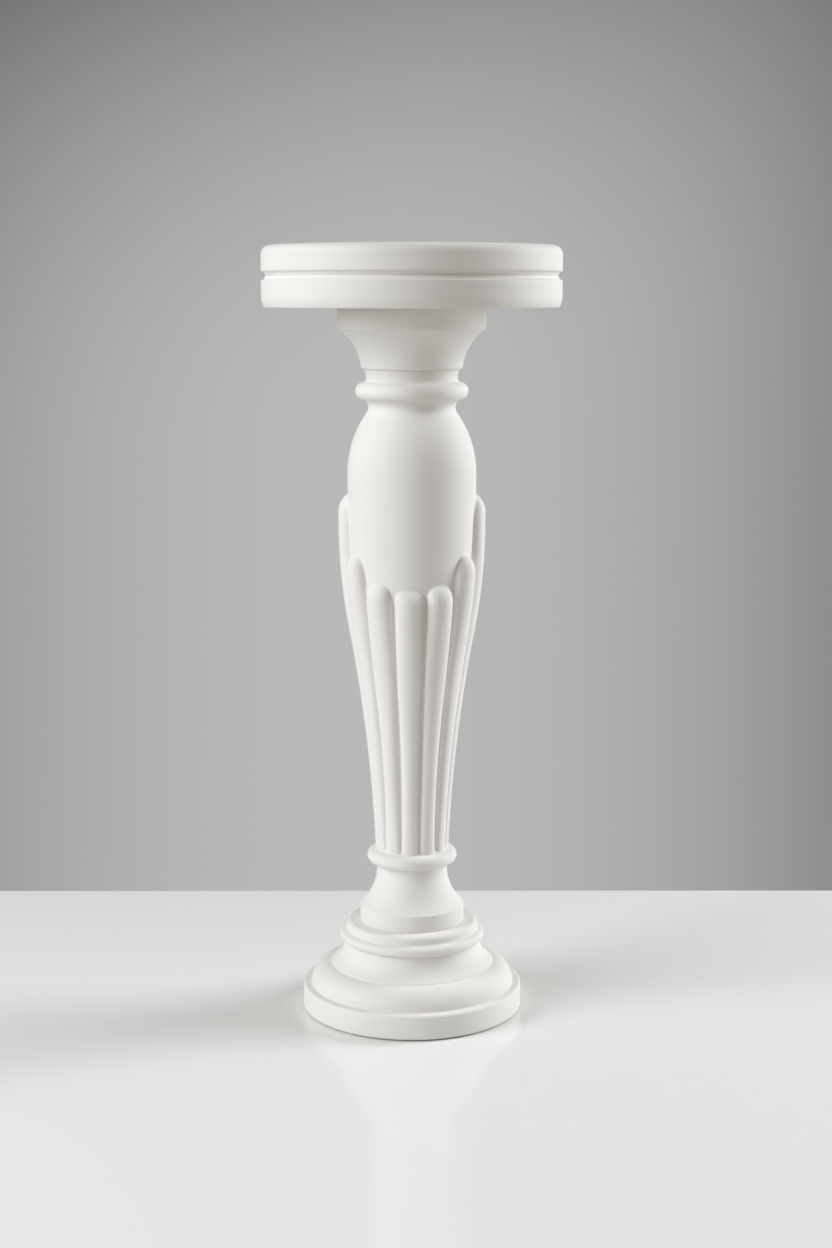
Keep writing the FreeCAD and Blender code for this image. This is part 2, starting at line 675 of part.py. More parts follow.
def screws(label, seat, kind):
    """A ring of round-headed wood screws that point up, each a solid of its own."""
    circle = f"{kind}_screw_circle"
    shank = f"{circle} + {kind}_screw_radius"
    top = f"{kind}_screw_length"
    body = new_body(label, seat)
    ring_of(body, turn(body, [
        (circle, top),
        (shank, f"{top} - 2 * {kind}_screw_radius"),
        (shank, "0"),
        (f"{circle} + {kind}_head_radius", "0"),
        (f"{circle} + {kind}_head_radius", f"-{kind}_head_height / 2", "upright_start"),
        (f"{circle} + {kind}_head_radius / 2", f"-{kind}_head_height"),
        (circle, f"-{kind}_head_height"),
    ], circle), f"{kind}_screw_count")


screws("board_screws", f"({lower_board_seat} + board_screw_well)", "board")
screws("cover_screws", f"({plinth_seat} + cover_screw_well)", "cover")

# Each piece that leaves this file, and how many solids it is made of.
PIECES = {
    "upper_board": 1,
    "lower_board": 1,
    "board_screws": round(number("board_screw_count")),
    "capital": 1,
    "capital_dowels": round(number("dowel_count")),
    "shaft": 1,
    "foot": 1,
    "moulding_ring": 1,
    "plinth": 1,
    "tie_rod": 1,
    "upper_nut": 1,
    "upper_washer": 1,
    "ballast_disc": 1,
    "lower_washer": 1,
    "lower_nut": 1,
    "base_cover": 1,
    "cover_screws": round(number("cover_screw_count")),
    "felt_disc": 1,
}

doc.recompute()
for item in doc.Objects:
    if "Invalid" in item.State or "Error" in item.State:
        raise RuntimeError(f"{item.Label} failed: {item.State}")
shapes = {}
for name, solids in PIECES.items():
    shape = doc.getObjectsByLabel(name)[0].Shape
    if shape.isNull() or not shape.isValid():
        raise RuntimeError(f"{name} has no valid shape")
    if len(shape.Solids) != solids:
        raise RuntimeError(f"{name} has {len(shape.Solids)} solids, not {solids}")
    shapes[name] = shape
for name, shape in shapes.items():
    shape.exportStep(f"parts/{name}.step")
    box = shape.optimalBoundingBox()
    print(f"{name}: {shape.Volume / 1000:.1f} cm3, z {box.ZMin:.2f} to {box.ZMax:.2f}")
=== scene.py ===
import math

import bmesh
import bpy
import numpy as np
from mathutils import Matrix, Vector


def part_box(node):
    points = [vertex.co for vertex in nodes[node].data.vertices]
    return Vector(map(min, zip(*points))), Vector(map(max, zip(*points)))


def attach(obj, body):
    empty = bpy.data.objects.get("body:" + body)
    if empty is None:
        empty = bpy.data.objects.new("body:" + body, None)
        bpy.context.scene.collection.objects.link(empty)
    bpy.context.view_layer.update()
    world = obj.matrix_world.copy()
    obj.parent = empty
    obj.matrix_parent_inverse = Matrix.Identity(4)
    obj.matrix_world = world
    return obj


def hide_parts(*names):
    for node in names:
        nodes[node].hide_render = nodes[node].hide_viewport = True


# A pedestal column stand in matt white lacquer: a round two-board top, a turned
# column with twelve carved ribs, a bell foot, a moulding ring and a round plinth.
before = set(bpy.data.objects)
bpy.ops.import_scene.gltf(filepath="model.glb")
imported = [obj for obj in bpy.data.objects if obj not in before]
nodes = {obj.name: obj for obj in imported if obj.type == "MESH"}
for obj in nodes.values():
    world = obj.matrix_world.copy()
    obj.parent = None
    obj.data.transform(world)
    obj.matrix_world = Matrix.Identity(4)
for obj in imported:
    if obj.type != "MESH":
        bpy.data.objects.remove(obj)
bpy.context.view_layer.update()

# ---------------------------------------------------------------------------
# Camera
# A long lens level with the lower board of the top, looking down by nine degrees, from
# a touch to the right of the front.
MM = 0.001
camera_turn = math.radians(2.5)
camera_distance = 2055.5 * MM
camera_height = 752.9 * MM
camera_pitch = math.radians(9.41)
aim_right = 4.3 * MM
lens_mm = 57.69
film_mm = 36

camera_data = bpy.data.cameras.new("photo_camera")
camera_data.sensor_fit = "VERTICAL"
camera_data.sensor_height = film_mm
camera_data.lens = lens_mm
camera = bpy.data.objects.new("photo_camera", camera_data)
camera.location = (camera_distance * math.sin(camera_turn),
                   -camera_distance * math.cos(camera_turn), camera_height)
camera.rotation_euler = (math.pi / 2 - camera_pitch, 0,
                         camera_turn - math.atan(aim_right / camera_distance))
bpy.context.scene.collection.objects.link(camera)
bpy.context.scene.camera = camera
bpy.context.scene.view_settings.view_transform = "Standard"


# ---------------------------------------------------------------------------
# Table
# A polished white laminate table top. It mirrors the base faintly, and its back edge
# shows behind the stand.
def linear(text):
    """The linear colour of an sRGB hex value."""
    parts = [int(text[place:place + 2], 16) / 255 for place in (1, 3, 5)]
    return [part / 12.92 if part <= 0.04045 else ((part + 0.055) / 1.055) ** 2.4
            for part in parts] + [1]


def add(material, kind, settings=None, **inputs):
    """Adds a node. An input is a value, or an output that is linked to it."""
    tree = material.node_tree
    node = tree.nodes.new("ShaderNode" + kind)
    for name, value in (settings or {}).items():
        setattr(node, name, value)
    for name, value in inputs.items():
        socket = node.inputs[int(name[1:]) if name[1:].isdigit() else name.replace("_", " ")]
        if isinstance(value, bpy.types.NodeSocket):
            tree.links.new(value, socket)
        else:
            socket.default_value = value
    return node


def new_material(name):
    """A material with no nodes yet."""
    material = bpy.data.materials.new(name)
    material.use_nodes = True
    material.node_tree.nodes.clear()
    return material


table_width = 1500 * MM
table_back = 406 * MM
table_front = -1000 * MM
table_sheet = bpy.data.meshes.new("table_top")
table_sheet.from_pydata([(-table_width / 2, table_front, 0), (table_width / 2, table_front, 0),
                         (table_width / 2, table_back, 0), (-table_width / 2, table_back, 0)],
                        [], [(0, 1, 2, 3)])
table_top = bpy.data.objects.new("table_top", table_sheet)
table_top.rotation_euler.z = camera_turn
bpy.context.scene.collection.objects.link(table_top)
# Laminate pressed against a polished plate: an even white with a faint, clear mirror image.
laminate = new_material("polished_laminate")
polish = add(laminate, "BsdfPrincipled", Base_Color=linear("#F0F0EE"), Roughness=0.14, IOR=1.3)
add(laminate, "OutputMaterial", Surface=polish.outputs[0])
table_sheet.materials.append(laminate)

# ---------------------------------------------------------------------------
# Backdrop and room light
# A grey paper backdrop with painted light: lightest a little left of the stand, and painted darker
# at the sides and the top. The camera and gloss see it; the stand itself is lit by an even room.
world = bpy.data.worlds.new("grey_backdrop")
bpy.context.scene.world = world
world.use_nodes = True
world.node_tree.nodes.clear()
room_strength = 0.277
lightest_side, lightest_level, top_tilt = 0.067, 0.053, 0.156    # parts of a unit direction
side_falloff, top_falloff, dimmest = 8.4, 10.1, 0.3
direction = add(world, "SeparateXYZ", _0=add(world, "TexCoord").outputs["Generated"])
sideways = add(world, "Math", {"operation": "ADD"},
               _0=direction.outputs["X"], _1=lightest_side).outputs[0]
upwards = add(world, "Math", {"operation": "ADD"},
              _0=direction.outputs["Z"], _1=lightest_level).outputs[0]
upwards = add(world, "Math", {"operation": "MULTIPLY_ADD"},
              _0=direction.outputs["X"], _1=-top_tilt, _2=upwards).outputs[0]
upwards = add(world, "Math", {"operation": "MAXIMUM"}, _0=upwards, _1=0.0).outputs[0]
glow = 1.0
for reach, falloff in ((sideways, side_falloff), (upwards, top_falloff)):
    square = add(world, "Math", {"operation": "MULTIPLY"}, _0=reach, _1=reach).outputs[0]
    dimming = add(world, "Math", {"operation": "MULTIPLY_ADD"},
                  _0=square, _1=-falloff, _2=1.0).outputs[0]
    glow = add(world, "Math", {"operation": "MULTIPLY"}, _0=glow, _1=dimming).outputs[0]
glow = add(world, "Math", {"operation": "MAXIMUM"}, _0=glow, _1=dimmest).outputs[0]
# Painted light: the backdrop's grey is scaled by the painted glow, from black up to the paper's
# grey.
painted_backdrop_light = add(world, "Mix", {"data_type": "RGBA"}, Factor=glow,
            _6=linear("#000000"), _7=linear("#B9B9B9")).outputs[2]
rays = add(world, "LightPath")
seen = add(world, "Math", {"operation": "MAXIMUM"}, _0=rays.outputs["Is Camera Ray"],
           _1=rays.outputs["Is Glossy Ray"])
shown = add(world, "Math", {"operation": "MAXIMUM"}, _0=seen.outputs[0],
            _1=rays.outputs["Is Transmission Ray"])
backdrop = add(world, "Background", Color=painted_backdrop_light, Strength=1)
room = add(world, "Background", Color=linear("#FFF6EA"), Strength=room_strength)
mixed = add(world, "MixShader", Fac=shown.outputs[0], _1=room.outputs[0], _2=backdrop.outputs[0])
add(world, "OutputWorld", Surface=mixed.outputs[0])


# Two softboxes: a large one on the left and a strip behind on the right.
def softbox(name, azimuth, elevation, distance, width, height, power):
    """A soft rectangular lamp aimed at the middle of the stand."""
    aim_height = 450 * MM
    turn = math.radians(azimuth) + camera_turn
    rise = math.radians(elevation)
    lamp = bpy.data.lights.new(name, "AREA")
    lamp.shape = "RECTANGLE"
    lamp.size = width
    lamp.size_y = height
    lamp.energy = power
    lamp.color = linear("#F5F9FF")[:3]
    holder = bpy.data.objects.new(name, lamp)
    holder.location = (distance * math.cos(rise) * math.sin(turn),
                       -distance * math.cos(rise) * math.cos(turn),
                       aim_height + distance * math.sin(rise))
    holder.rotation_euler = (math.pi / 2 - rise, 0, turn)
    holder.visible_camera = False
    bpy.context.scene.collection.objects.link(holder)


softbox("left_softbox", -65, 25, 3000 * MM, 1770 * MM, 2050 * MM, 78)
softbox("right_strip", 104, 21, 3000 * MM, 1200 * MM, 2300 * MM, 88)


# ---------------------------------------------------------------------------
# Plinth
# A round base turned from a glued-up beech block: a hollow at the top, a thin fillet,
# a big round and an upright band. Filled, sanded and sprayed, its edges are soft.
def arc_centre(start, end, kind, radius):
    """Centre of an arc: upright or level at one end, a half round, or of a given radius."""
    across, up = end[0] - start[0], end[1] - start[1]
    square = across * across + up * up
    if kind == "upright_start":
        return start[0] + square / (2 * across), start[1]
    if kind == "upright_end":
        return end[0] - square / (2 * across), end[1]
    if kind == "level_start":
        return start[0], start[1] + square / (2 * up)
    if kind == "level_end":
        return end[0], end[1] - square / (2 * up)
    middle = (start[0] + end[0]) / 2, (start[1] + end[1]) / 2
    if kind == "half":
        return middle
    chord = math.sqrt(square)
    reach = math.sqrt(radius * radius - square / 4)
    side = (1 if kind == "bulge" else -1) * (1 if up < 0 else -1)
    return middle[0] + side * up / chord * reach, middle[1] - side * across / chord * reach


half_turn = math.pi - 1e-6     # a half round swells away from the axis


def walk(outline, step):
    """Points along a closed outline of radii and heights. A third item in a point names
    the arc that leads from it to the next one. An outline walks down its outside."""
    points = []
    for index, item in enumerate(outline):
        start, end = item[:2], outline[(index + 1) % len(outline)][:2]
        if len(item) == 2:
            steps = max(1, round(math.dist(start, end) / step))
            for share in np.arange(steps) / steps:
                points.append((start[0] + share * (end[0] - start[0]),
                               start[1] + share * (end[1] - start[1])))
            continue
        kind, _, radius = item[2].partition(" ")
        centre = arc_centre(start, end, kind, float(radius or 0))
        first = math.atan2(start[1] - centre[1], start[0] - centre[0])
        sweep = (math.atan2(end[1] - centre[1], end[0] - centre[0]) - first) % (2 * math.pi)
        if sweep > half_turn:
            sweep -= 2 * math.pi
        size = math.dist(start, centre)
        steps = max(1, round(abs(sweep) * size / step))
        for angle in first + sweep * np.arange(steps) / steps:
            points.append((centre[0] + size * math.cos(angle),
                           centre[1] + size * math.sin(angle)))
    return np.array(points)


rounding_reach = 4             # how many softnesses away a corner still rounds the outline


def softened(points, softness, step):
    """The closed outline with its corners rounded by sanding and by the paint's own skin."""
    reach = math.ceil(rounding_reach * softness / step)
    weight = np.exp(-0.5 * (np.arange(-reach, reach + 1) * step / softness) ** 2)
    weight /= weight.sum()
    wrapped = np.concatenate([points[-reach:], points, points[:reach]])
    return np.stack([np.convolve(wrapped[:, side], weight, "valid") for side in (0, 1)], 1)


def thinned(points, slack, longest):
    """Few enough of the points that the outline still keeps its curves."""
    kept = [0]
    last = 1
    while last < len(points):
        chord = points[last] - points[kept[-1]]
        length = math.hypot(*chord)
        between = points[kept[-1]:last] - points[kept[-1]]
        if length:
            off = np.abs(between[:, 0] * chord[1] - between[:, 1] * chord[0]).max() / length
        if length and (off > slack or length > longest(points[last])) and last - 1 > kept[-1]:
            kept.append(last - 1)
        else:
            last += 1
    return points[kept]


def profile(outline, softness=0.55, longest=lambda point: 8):
    """A soft outline in few points. A face that reaches the axis stays flat there."""
    step, slack = 0.2, 0.012
    sharp = walk(outline, step)
    points = softened(sharp, softness, step)
    at_axis = sharp[:, 0] < rounding_reach * softness
    points[at_axis] = sharp[at_axis]
    return thinned(points, slack, longest)


round_columns, board_columns = 240, 360     # the wide rims of the top need the most


def even_turns(columns):
    """Evenly spaced angles round the axis, from the front."""
    return 2 * math.pi * np.arange(columns) / columns


def lathe(name, rows, turns=even_turns(round_columns)):
    """A closed mesh of rings. Each row gives a radius, or one for each column, and a height."""
    columns = len(turns)
    weld = 0.01 * MM
    across = np.stack([np.sin(turns), -np.cos(turns)], 1)
    points = []
    for radius, height in rows:
        ring = np.broadcast_to(radius, columns)[:, None] * across
        points.append(np.column_stack([ring, np.full(columns, height)]))
    points = np.concatenate(points) * MM
    here = np.arange(columns)
    right = (here + 1) % columns
    faces = []
    for row in range(len(rows)):
        low, high = row * columns, (row + 1) % len(rows) * columns
        faces.append(np.stack([low + here, high + here, high + right, low + right], 1))
    mesh = bpy.data.meshes.new(name)
    mesh.from_pydata(points.tolist(), [], np.concatenate(faces).tolist())
    shaped = bmesh.new()
    shaped.from_mesh(mesh)
    bmesh.ops.remove_doubles(shaped, verts=shaped.verts, dist=weld)
    loose = [edge for edge in shaped.edges if not edge.link_faces]
    bmesh.ops.delete(shaped, geom=loose, context="EDGES")
    bmesh.ops.recalc_face_normals(shaped, faces=shaped.faces)
    for face in shaped.faces:
        face.smooth = True
    shaped.to_mesh(mesh)
    shaped.free()
    piece = bpy.data.objects.new(name, mesh)
    bpy.context.scene.collection.objects.link(piece)
    return piece


def stand_for(piece, node, material):
    """The piece takes the place, the body and the finish of a CAD node."""
    piece.data.materials.append(material)
    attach(piece, "root")
    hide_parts(node)


def heights_of(node):
    """The lowest and highest point of a node, in millimetres."""
    low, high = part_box(node)
    return low.z / MM, high.z / MM


# Two-pack matt lacquer, sprayed on filled and sanded beech. It gives the eye an even
# warm white with a soft broad sheen and, close up, the fine skin of a sprayed coat.
def matt_lacquer():
    material = new_material("sprayed_matt_lacquer")
    place = add(material, "TexCoord").outputs["Object"]
    cloud_size = 60 * MM      # how far apart the coat is a little thicker
    spray_size = 1.8 * MM     # orange peel, about twice as coarse as real so that it shows
    grit_size = 0.5 * MM      # dust and sanding marks under the coat
    clouds = add(material, "TexNoise", Vector=place, Scale=1 / cloud_size, Detail=4,
                 Roughness=0.6).outputs["Fac"]
    shade = add(material, "Mix", {"data_type": "RGBA"}, Factor=clouds,
                _6=linear("#E9E7E2"), _7=linear("#EFEDE9")).outputs[2]
    sheen = add(material, "MapRange", Value=clouds, To_Min=0.62, To_Max=0.72).outputs["Result"]
    spray = add(material, "TexNoise", Vector=place, Scale=1 / spray_size, Detail=1).outputs["Fac"]
    grit = add(material, "TexNoise", Vector=place, Scale=1 / grit_size, Detail=2).outputs["Fac"]
    skin = add(material, "Bump", Height=spray, Strength=0.25, Distance=0.06 * MM)
    grain = add(material, "Bump", Height=grit, Strength=0.2, Distance=0.02 * MM,
                Normal=skin.outputs["Normal"]).outputs["Normal"]
    coat = add(material, "BsdfPrincipled", Base_Color=shade, Roughness=sheen, Normal=grain,
               IOR=1.5)
    add(material, "OutputMaterial", Surface=coat.outputs[0])
    return material


lacquer = matt_lacquer()
low, high = heights_of("plinth")
cavetto_top, cavetto_edge = 71.5, 84.9
cavetto_foot = high - 23.7
fillet, arris = 0.8, 1
torus_reach = 107
band_reach, band_top, band_round = 116, low + 25.5, 3
spigot_bore, rod_bore = 46, 7
recess_reach, recess_top = 75, low + 38.5
cover_reach, cover_top = 92, low + 5
spigot_hole = 13
spigot_floor = high - spigot_hole
plinth = lathe("plinth_turning", profile([
    (spigot_bore, high),
    (cavetto_top, high, "upright_start"),
    (cavetto_edge, cavetto_foot),
    (cavetto_edge + fillet, cavetto_foot - fillet),
    (cavetto_edge + fillet, cavetto_foot - 2 * fillet, "level_start"),
    (torus_reach, band_top + arris),
    (torus_reach, band_top),
    (band_reach - band_round, band_top, "level_start"),
    (band_reach, band_top - band_round),
    (band_reach, low + arris),
    (band_reach - arris, low),
    (cover_reach, low),
    (cover_reach, cover_top),
    (recess_reach, cover_top),
    (recess_reach, recess_top),
    (rod_bore, recess_top),
    (rod_bore, spigot_floor),
    (spigot_bore, spigot_floor),
]))
stand_for(plinth, "plinth", lacquer)

# ---------------------------------------------------------------------------
# Ballast disc
# A sand-cast iron disc in the hollow of the plinth, dipped in black primer. The tie rod
# pulls it up against the wood, and its weight keeps the stand upright.
def dress(node, material):
    """Gives a CAD node its finish."""
    for place in nodes[node].material_slots:
        place.material = material


# Primed cast iron: dull near-black, with the pitted grain of the sand mould, and thin
# brown places where the primer missed.
def primed_casting():
    material = new_material("primed_cast_iron")
    place = add(material, "TexCoord").outputs["Object"]
    sand_grain, blotch_size = 1.2 * MM, 14 * MM
    grains = add(material, "TexNoise", Vector=place, Scale=1 / sand_grain, Detail=3).outputs["Fac"]
    blotches = add(material, "TexNoise", Vector=place, Scale=1 / blotch_size,
                   Detail=5).outputs["Fac"]
    bare = add(material, "MapRange", Value=blotches, From_Min=0.6, From_Max=0.72).outputs[0]
    colour = add(material, "Mix", {"data_type": "RGBA"}, Factor=bare,
                 _6=linear("#2A2A2C"), _7=linear("#4A3629")).outputs[2]
    pits = add(material, "Bump", Height=grains, Strength=0.6, Distance=0.25 * MM)
    iron = add(material, "BsdfPrincipled", Base_Color=colour, Roughness=0.7, Metallic=0.2,
               Normal=pits.outputs["Normal"])
    add(material, "OutputMaterial", Surface=iron.outputs[0])
    return material


dress("ballast_disc", primed_casting())

# ---------------------------------------------------------------------------
# Moulding ring
# A loose turned ring with a flat top and two beads, slipped over the foot's spigot
# and glued to the plinth.
low, high = heights_of("moulding_ring")
flat_reach, upper_bead, upper_bead_side = 64.5, 4.8, 2.6
lower_bead_seat, lower_bead = 70.8, 5.6
moulding_ring = lathe("moulding_ring_turning", profile([
    (spigot_bore, high),
    (flat_reach, high, "level_start"),
    (flat_reach + upper_bead, high - upper_bead),
    (flat_reach + upper_bead, high - upper_bead - upper_bead_side, "upright_start"),
    (lower_bead_seat, low + 2 * lower_bead, "half"),
    (lower_bead_seat, low),
    (spigot_bore, low),
]))
stand_for(moulding_ring, "moulding_ring", lacquer)

# ---------------------------------------------------------------------------
# Foot
# A bell turned from one block. Its spigot goes down through the ring, and its upper
# tenon is glued into the shaft.
low = heights_of("moulding_ring")[1]
shoulder = heights_of("shaft")[0]
spigot_end, tenon_top = heights_of("foot")
tenon_reach, fit = 21.85, 0.15
neck_reach, neck_side = 36.8, 2
bell_reach, bell_side = 55, 17.6
foot = lathe("foot_turning", profile([
    (rod_bore, tenon_top),
    (tenon_reach, tenon_top),
    (tenon_reach, shoulder),
    (neck_reach, shoulder),
    (neck_reach, shoulder - neck_side, "upright_start"),
    (bell_reach - arris, low + bell_side + arris / 2, "level_start"),
    (bell_reach, low + bell_side - arris),
    (bell_reach, low),
    (spigot_bore - fit, low),
    (spigot_bore - fit, spigot_end),
    (rod_bore, spigot_end),
]))
stand_for(foot, "foot", lacquer)

# ---------------------------------------------------------------------------
# Shaft
# One long turning of beech, carved with twelve ribs whose ends lie on a line that hangs
# low at the front and back. Its hollows are filled and sanded, so no inner edge is sharp.
low, top = heights_of("shaft")
neck_top = heights_of("capital")[0]
head_tenon_reach, foot_socket, socket_depth = 24.85, 22, 16
socket_top = low + socket_depth
neck_radius, neck_flare, neck_flare_side, neck_cove = 46.9, 1.8, 7.5, 4.2
bead_drop, bead_tube, bead_seat = 21.6, 8.9, 48.9
bead_middle = neck_top - bead_drop
cove_across = neck_radius + neck_cove - bead_seat
cove_rise = math.sqrt((bead_tube + neck_cove) ** 2 - cove_across ** 2)
touch = bead_tube / (bead_tube + neck_cove)     # where the bead meets the hollow above it
waist_reach, waist_side, waist_hollow, dome_side = 45.9, 12.8, 9.5, 62.3
waist_end = bead_middle - bead_tube - waist_side
belly_level = waist_end - dome_side
belly_reach, core_foot, core_foot_level, core_turn = 66.3, 35.4, low + 23, 0.41
core_middle = (core_foot + core_turn * (belly_reach - core_foot),
               core_foot_level + core_turn * (belly_level - core_foot_level))
foot_bead_seat, foot_bead_tube, foot_bead_low = 39.8, 7.5, low + 2.8
thin_ring, thin_ring_side, thin_ring_round = 38.6, 2.4, 1.5
rib_count = 12
rib_spring, rib_spring_level, rib_turn = 37, low - 50, 0.727
rib_belly, rib_belly_level = 75.9, low + 364.2
rib_gap, rib_bury, rib_dome, rib_power, dome_power = 2.2, 0.8, 18, 2.0, 0.75
front_taper, side_taper = 18, 31         # how far down the ribs narrow towards their ends
front_bluntness, side_bluntness = 3.2, 2.0      # 2 is an oval end, more is blunter
low_tip, high_tip, swag_power = low + 301, low + 393.5, 1.47
valley_softness = 0.7
sinking = 2                    # how steeply the carving sinks away beside and past a rib
nearly_whole = 0.999           # keeps a rib from closing to nothing at its end
halvings = 30                  # how finely the surface of a rib is found
tip_margin = 4                 # how far past the highest rib end the carving is worked out
close_rings, wide_rings = 1.6, 5


def ogee(height, low_end, high_end, turn_at):
    """Reach of a curve of two arcs, upright at both ends, at each height."""
    across, up = high_end[0] - low_end[0], high_end[1] - low_end[1]
    radius = (across * across + up * up) / (2 * across)
    rise = np.clip(height - low_end[1], 0, turn_at * up)
    drop = np.clip(high_end[1] - height, 0, (1 - turn_at) * up)
    hollow = low_end[0] + radius * turn_at - np.sqrt((radius * turn_at) ** 2 - rise ** 2)
    sweep = radius * (1 - turn_at)
    swell = high_end[0] - sweep + np.sqrt(sweep ** 2 - drop ** 2)
    return np.where(height < low_end[1] + turn_at * up, hollow, swell)


def rib_surface(height, turns):
    """Reach of the ribs at one height, for each angle from the front."""
    core = ogee(height, (core_foot, core_foot_level), (belly_reach, belly_level), core_turn)
    crest = ogee(height, (rib_spring, rib_spring_level), (rib_belly, rib_belly_level), rib_turn)
    pitch = 2 * math.pi / rib_count
    nearest = np.round(turns / pitch) * pitch
    tip = low_tip + (high_tip - low_tip) * (1 - np.abs(np.cos(nearest))) ** swag_power
    sideways = np.abs(np.sin(nearest))
    taper = front_taper + (side_taper - front_taper) * sideways
    bluntness = front_bluntness + (side_bluntness - front_bluntness) * sideways
    narrowing = np.clip((height - tip + taper) / taper, 0, nearly_whole)
    climb = np.clip((height - tip + rib_dome) / rib_dome, 0, nearly_whole)
    middle = core - rib_bury
    half_width = core * math.sin(pitch / 2) - rib_gap / 2
    half_width = half_width * (1 - narrowing ** bluntness) ** (1 / bluntness)
    depth = (crest - middle) * (1 - climb ** 2) ** dome_power
    off = np.abs(turns - nearest)
    inner = middle / np.cos(off)
    outer = (middle + depth) / np.cos(off)
    for _ in range(halvings):
        guess = (inner + outer) / 2
        inside = ((guess * np.sin(off) / half_width) ** rib_power
                  + (np.maximum(guess * np.cos(off) - middle, 0) / depth) ** rib_power) < 1
        inner = np.where(inside, guess, inner)
        outer = np.where(inside, outer, guess)
    beside = np.maximum(middle * np.tan(off) - half_width, 0)
    above = np.maximum(height - tip, 0)
    return inner - sinking * beside - sinking * above


def softly_higher(first, second, softness):
    """The higher of two surfaces, with a fillet where they meet."""
    share = np.clip(0.5 + (first - second) / (2 * softness), 0, 1)
    return share * first + (1 - share) * second + softness * share * (1 - share)


def carving_step(point):
    """How close the rings of the mesh have to be: closest where the ribs end."""
    beside_tips = low_tip - side_taper < point[1] < high_tip + tip_margin
    return close_rings if beside_tips and point[0] > core_foot else wide_rings


shaft_rows = profile([
    (rod_bore, top),
    (head_tenon_reach, top),
    (head_tenon_reach, neck_top),
    (neck_radius + neck_flare, neck_top, "upright_end"),
    (neck_radius, neck_top - neck_flare_side),
    (neck_radius, bead_middle + cove_rise, "upright_start"),
    (bead_seat + touch * cove_across, bead_middle + touch * cove_rise, f"bulge {bead_tube}"),
    (bead_seat, bead_middle - bead_tube, f"hollow {waist_hollow}"),
    (waist_reach, waist_end, "upright_end"),
    (belly_reach, belly_level, "upright_start"),
    (*core_middle, "upright_end"),
    (core_foot, core_foot_level, "upright_start"),
    (foot_bead_seat, foot_bead_low + 2 * foot_bead_tube, "half"),
    (foot_bead_seat, foot_bead_low),
    (thin_ring, low + thin_ring_side, f"bulge {thin_ring_round}"),
    (thin_ring, low),
    (foot_socket, low),
    (foot_socket, socket_top),
    (rod_bore, socket_top),
], longest=carving_step)
columns_per_rib, crowding = 36, 0.6      # more columns in the valleys than on the crests
place = np.arange(rib_count * columns_per_rib) / columns_per_rib
crowded = place + crowding * np.sin(2 * math.pi * place) / (2 * math.pi)
turns = 2 * math.pi / rib_count * crowded
carving_low, carving_high = foot_bead_low + foot_bead_tube, high_tip + tip_margin
bore_side = thin_ring - 5      # a row nearer the axis than this is inside the shaft
carved = [index for index, (reach, height) in enumerate(shaft_rows)
          if reach > bore_side and carving_low < height < carving_high]
reaches = np.repeat(shaft_rows[:, :1], len(turns), 1)
for index in carved:
    ribs = rib_surface(shaft_rows[index, 1], turns)
    reaches[index] = softly_higher(reaches[index], ribs, valley_softness)
shaft = lathe("shaft_carving", list(zip(reaches, shaft_rows[:, 1])), turns)
stand_for(shaft, "shaft", lacquer)

# ---------------------------------------------------------------------------
# Capital
# The flared head of the column, turned with a deep hollow between two rims, and
# dowelled to the lower board so that it can't turn.
low, high = heights_of("capital")
capital_reach, capital_side = 75.8, 20
lip_reach, lip_round, head_socket = 52.2, 3, 25
shoulder_in, shoulder_drop, flare_hollow = 2.5, 3.2, 50.8
flare_top = high - capital_side - shoulder_drop
capital = lathe("capital_turning", profile([
    (rod_bore, high),
    (capital_reach, high),
    (capital_reach, high - capital_side, "upright_start"),
    (capital_reach - shoulder_in, flare_top, f"hollow {flare_hollow}"),
    (lip_reach, low + lip_round + arris / 2, "upright_start"),
    (lip_reach - lip_round, low + arris / 2),
    (lip_reach - lip_round, low),
    (head_socket, low),
    (head_socket, low + socket_depth),
    (rod_bore, low + socket_depth),
]))
stand_for(capital, "capital", lacquer)


# Bare beech, cut along the grain: pale pinkish brown, close straight grain that runs up
# the dowel, and the short darker flecks of its rays.
def bare_beech():
    material = new_material("bare_beech")
    place = add(material, "TexCoord").outputs["Object"]
    grain_width, fleck_width, drawn_out = 0.7 * MM, 0.5 * MM, 0.06
    along = add(material, "VectorMath", {"operation": "MULTIPLY"}, _0=place,
                _1=(1, 1, drawn_out)).outputs[0]
    grain = add(material, "TexNoise", Vector=along, Scale=1 / grain_width, Detail=4,
                Distortion=0.4).outputs["Fac"]
    short = add(material, "VectorMath", {"operation": "MULTIPLY"}, _0=place,
                _1=(1, 1, 4 * drawn_out)).outputs[0]
    rays = add(material, "TexNoise", Vector=short, Scale=1 / fleck_width, Detail=1).outputs["Fac"]
    flecks = add(material, "MapRange", Value=rays, From_Min=0.62, From_Max=0.7,
                 To_Max=0.5).outputs[0]
    wood = add(material, "Mix", {"data_type": "RGBA"}, Factor=grain,
               _6=linear("#C49A6C"), _7=linear("#DDBB91")).outputs[2]
    colour = add(material, "Mix", {"data_type": "RGBA"}, Factor=flecks,
                 _6=wood, _7=linear("#9A6B42")).outputs[2]
    fibres = add(material, "Bump", Height=grain, Strength=0.4, Distance=0.08 * MM)
    beech = add(material, "BsdfPrincipled", Base_Color=colour, Roughness=0.65,
                Normal=fibres.outputs["Normal"])
    add(material, "OutputMaterial", Surface=beech.outputs[0])
    return material


dress("capital_dowels", bare_beech())

